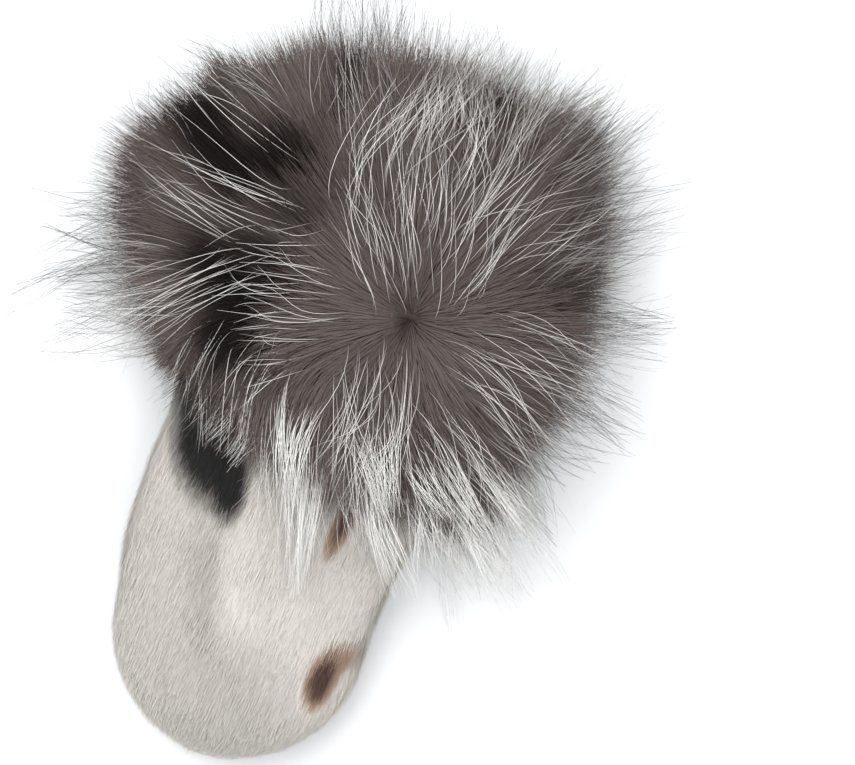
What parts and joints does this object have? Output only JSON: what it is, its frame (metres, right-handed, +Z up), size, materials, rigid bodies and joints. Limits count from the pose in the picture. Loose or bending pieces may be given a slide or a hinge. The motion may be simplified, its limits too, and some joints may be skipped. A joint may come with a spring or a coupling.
{
  "type": "fur mitten",
  "caption": "Winter mitten with a short-haired back, a black leather palm and folded thumb, and a deep fur cuff round the wrist, lying on its palm.",
  "frame": {"origin": "on the surface that the mitten lies on, under the middle of its bounding box", "axes": "+Z up, away from the palm; +Y along the arm, from the fingertips to the open end of the cuff; +X to the thumb's side"},
  "size_m": [0.3018, 0.3854, 0.1349],
  "materials": {
    "haired_skin": "short laid hair, cream and grey with brown and black markings",
    "leather": "soft black nappa with a low sheen",
    "pelt_skin": "pale napped skin side of the cuff's fur",
    "fox_fur": "long grey-brown underfur with silver guard hairs"
  },
  "bodies": {
    "root": {"back_panel": "haired_skin", "palm_panel": "leather", "thumb": "leather", "cuff_pelt": "pelt_skin", "cuff_fur": "fox_fur", "cuff_underside": "fox_fur"}
  },
  "joints": []
}
